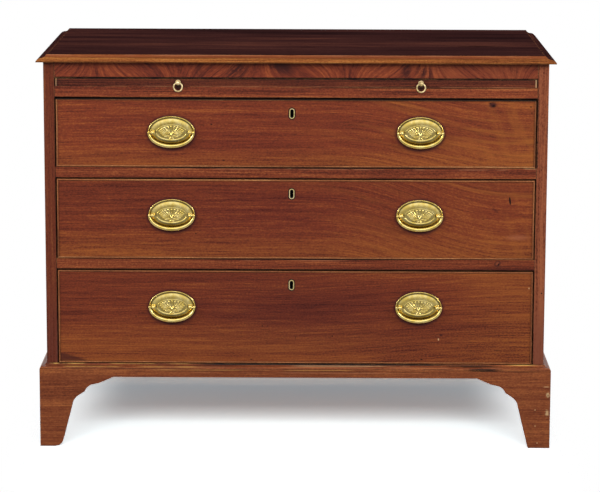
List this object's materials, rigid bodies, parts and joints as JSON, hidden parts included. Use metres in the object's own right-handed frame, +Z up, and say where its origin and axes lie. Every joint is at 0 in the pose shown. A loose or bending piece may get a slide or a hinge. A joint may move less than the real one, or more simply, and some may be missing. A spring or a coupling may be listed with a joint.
{
  "type": "chest of drawers",
  "caption": "Flat-fronted mahogany chest: graduated cockbeaded drawers under a brushing slide, moulded top, oval brass bail pulls, shaped bracket feet.",
  "frame": {"origin": "middle of the bounding box, on the floor under the feet", "axes": "+X to the right of a viewer who faces the drawers, +Y from front to back, +Z up"},
  "size_m": [1.04, 0.54, 0.8015],
  "materials": {
    "top_mahogany": "old polished mahogany, dark",
    "figured_mahogany": "polished crotch veneer",
    "case_mahogany": "old polished mahogany",
    "drawer_mahogany": "old polished mahogany",
    "slide_mahogany": "old polished mahogany",
    "oak": "dry unpolished oak",
    "pine": "dry unpolished pine",
    "brass": "lacquered stamped brass",
    "lock_brass": "dull cast brass",
    "lock_steel": "filed iron"
  },
  "bodies": {
    "carcase": {"top_board": "top_mahogany", "top_mouldings": "top_mahogany", "side_left": "case_mahogany", "side_right": "case_mahogany", "stiles": "case_mahogany", "frieze_rail": "figured_mahogany", "slide_rail": "case_mahogany", "upper_rail": "case_mahogany", "lower_rail": "case_mahogany", "carcase_floor": "pine", "dustboards": "pine", "kickers": "pine", "drawer_stops": "pine", "backboards": "pine", "base_front": "case_mahogany", "base_left": "case_mahogany", "base_right": "case_mahogany", "base_mouldings": "case_mahogany", "foot_blocks": "pine"},
    "slide": {"slide_panel": "slide_mahogany", "slide_edging": "slide_mahogany", "slide_knobs": "brass"},
    "upper_drawer": {"upper_drawer_front": "drawer_mahogany", "upper_drawer_cockbeads": "drawer_mahogany", "upper_drawer_side_left": "oak", "upper_drawer_side_right": "oak", "upper_drawer_back": "oak", "upper_drawer_panel": "oak", "upper_drawer_escutcheon": "brass", "upper_drawer_lock_case": "lock_brass", "upper_drawer_pull_mounts": "brass"},
    "upper_drawer_bolt": {"upper_drawer_lock_bolt": "lock_steel"},
    "upper_drawer_bail_left": {"upper_drawer_bail_left": "brass"},
    "upper_drawer_bail_right": {"upper_drawer_bail_right": "brass"},
    "middle_drawer": {"middle_drawer_front": "drawer_mahogany", "middle_drawer_cockbeads": "drawer_mahogany", "middle_drawer_side_left": "oak", "middle_drawer_side_right": "oak", "middle_drawer_back": "oak", "middle_drawer_panel": "oak", "middle_drawer_escutcheon": "brass", "middle_drawer_lock_case": "lock_brass", "middle_drawer_pull_mounts": "brass"},
    "middle_drawer_bolt": {"middle_drawer_lock_bolt": "lock_steel"},
    "middle_drawer_bail_left": {"middle_drawer_bail_left": "brass"},
    "middle_drawer_bail_right": {"middle_drawer_bail_right": "brass"},
    "bottom_drawer": {"bottom_drawer_front": "drawer_mahogany", "bottom_drawer_cockbeads": "drawer_mahogany", "bottom_drawer_side_left": "oak", "bottom_drawer_side_right": "oak", "bottom_drawer_back": "oak", "bottom_drawer_panel": "oak", "bottom_drawer_escutcheon": "brass", "bottom_drawer_lock_case": "lock_brass", "bottom_drawer_pull_mounts": "brass"},
    "bottom_drawer_bolt": {"bottom_drawer_lock_bolt": "lock_steel"},
    "bottom_drawer_bail_left": {"bottom_drawer_bail_left": "brass"},
    "bottom_drawer_bail_right": {"bottom_drawer_bail_right": "brass"},
    "slide_ring_left": {"slide_ring_left": "brass"},
    "slide_ring_right": {"slide_ring_right": "brass"}
  },
  "joints": [
    {"name": "slide_run", "type": "slide", "parent": "carcase", "child": "slide", "axis": [0, -1, 0], "range_m": [0, 0.3]},
    {"name": "upper_drawer_run", "type": "slide", "parent": "carcase", "child": "upper_drawer", "axis": [0, -1, 0], "range_m": [0, 0.36]},
    {"name": "upper_drawer_bolt_throw", "type": "slide", "parent": "upper_drawer", "child": "upper_drawer_bolt", "axis": [0, 0, 1], "range_m": [0, 0.009]},
    {"name": "upper_drawer_bail_left_swing", "type": "hinge", "parent": "upper_drawer", "child": "upper_drawer_bail_left", "pos_m": [-0.25, -0.2605, 0.6465], "axis": [-1, 0, 0], "range_deg": [-3, 150]},
    {"name": "upper_drawer_bail_right_swing", "type": "hinge", "parent": "upper_drawer", "child": "upper_drawer_bail_right", "pos_m": [0.25, -0.2605, 0.6465], "axis": [-1, 0, 0], "range_deg": [-3, 150]},
    {"name": "middle_drawer_run", "type": "slide", "parent": "carcase", "child": "middle_drawer", "axis": [0, -1, 0], "range_m": [0, 0.36]},
    {"name": "middle_drawer_bolt_throw", "type": "slide", "parent": "middle_drawer", "child": "middle_drawer_bolt", "axis": [0, 0, 1], "range_m": [0, 0.009]},
    {"name": "middle_drawer_bail_left_swing", "type": "hinge", "parent": "middle_drawer", "child": "middle_drawer_bail_left", "pos_m": [-0.25, -0.2605, 0.478], "axis": [-1, 0, 0], "range_deg": [-3, 150]},
    {"name": "middle_drawer_bail_right_swing", "type": "hinge", "parent": "middle_drawer", "child": "middle_drawer_bail_right", "pos_m": [0.25, -0.2605, 0.478], "axis": [-1, 0, 0], "range_deg": [-3, 150]},
    {"name": "bottom_drawer_run", "type": "slide", "parent": "carcase", "child": "bottom_drawer", "axis": [0, -1, 0], "range_m": [0, 0.36]},
    {"name": "bottom_drawer_bolt_throw", "type": "slide", "parent": "bottom_drawer", "child": "bottom_drawer_bolt", "axis": [0, 0, 1], "range_m": [0, 0.009]},
    {"name": "bottom_drawer_bail_left_swing", "type": "hinge", "parent": "bottom_drawer", "child": "bottom_drawer_bail_left", "pos_m": [-0.25, -0.2605, 0.2895], "axis": [-1, 0, 0], "range_deg": [-3, 150]},
    {"name": "bottom_drawer_bail_right_swing", "type": "hinge", "parent": "bottom_drawer", "child": "bottom_drawer_bail_right", "pos_m": [0.25, -0.2605, 0.2895], "axis": [-1, 0, 0], "range_deg": [-3, 150]},
    {"name": "slide_ring_left_swing", "type": "hinge", "parent": "slide", "child": "slide_ring_left", "pos_m": [-0.236, -0.2576, 0.7463], "axis": [-1, 0, 0], "range_deg": [-5, 150]},
    {"name": "slide_ring_right_swing", "type": "hinge", "parent": "slide", "child": "slide_ring_right", "pos_m": [0.25, -0.2576, 0.7463], "axis": [-1, 0, 0], "range_deg": [-5, 150]}
  ]
}
